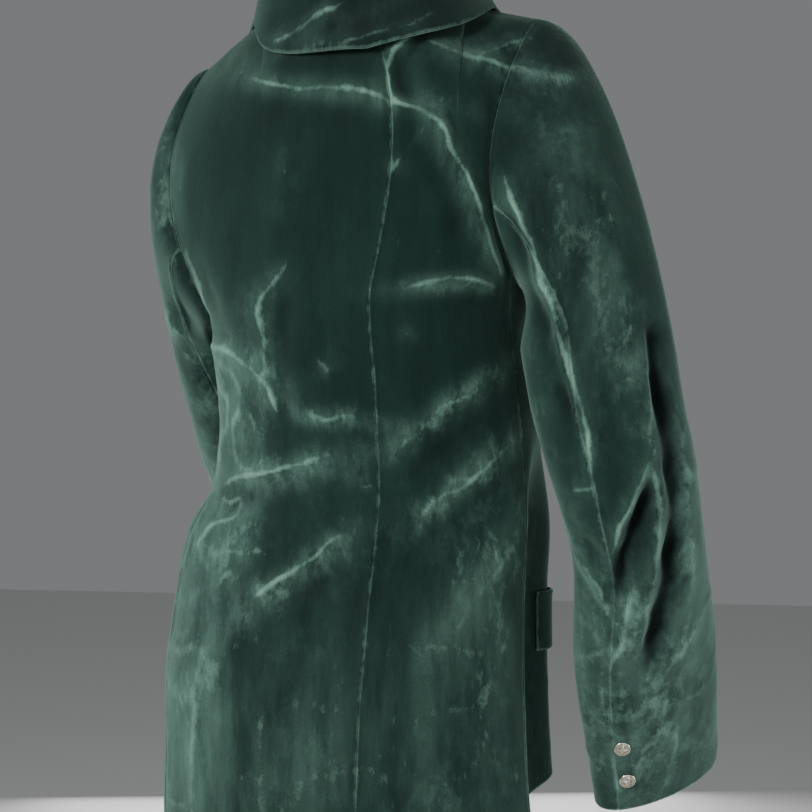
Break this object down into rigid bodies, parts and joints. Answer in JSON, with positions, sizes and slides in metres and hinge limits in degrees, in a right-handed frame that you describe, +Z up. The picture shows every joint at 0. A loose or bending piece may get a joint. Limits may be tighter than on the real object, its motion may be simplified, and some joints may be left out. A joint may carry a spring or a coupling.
{
  "type": "blazer",
  "caption": "Worn velvet blazer with open fronts, notched lapels, hip flaps and bent sleeves, holding the form of its wearer.",
  "frame": {"origin": "the nape: where the collar's foot crosses the centre of the neck, carried by the wearer's neck and shoulders", "axes": "+Z up, -Y the way the wearer faces, +X to the wearer's left"},
  "size_m": [0.4971, 0.4848, 0.7363],
  "materials": {
    "velvet": "dark bottle green cotton velvet with a short brushed nap",
    "buttons": "pale antiqued metal, plain domed"
  },
  "bodies": {
    "root": {"back_left": "velvet", "side_left": "velvet", "front_left": "velvet", "sleeve_upper_left": "velvet", "sleeve_under_left": "velvet", "cuff_button_1_left": "buttons", "cuff_button_2_left": "buttons", "lapel_left": "velvet", "hip_flap_left": "velvet", "back_right": "velvet", "side_right": "velvet", "front_right": "velvet", "sleeve_upper_right": "velvet", "sleeve_under_right": "velvet", "cuff_button_1_right": "buttons", "cuff_button_2_right": "buttons", "lapel_right": "velvet", "hip_flap_right": "velvet", "front_button": "buttons", "collar": "velvet"}
  },
  "joints": []
}
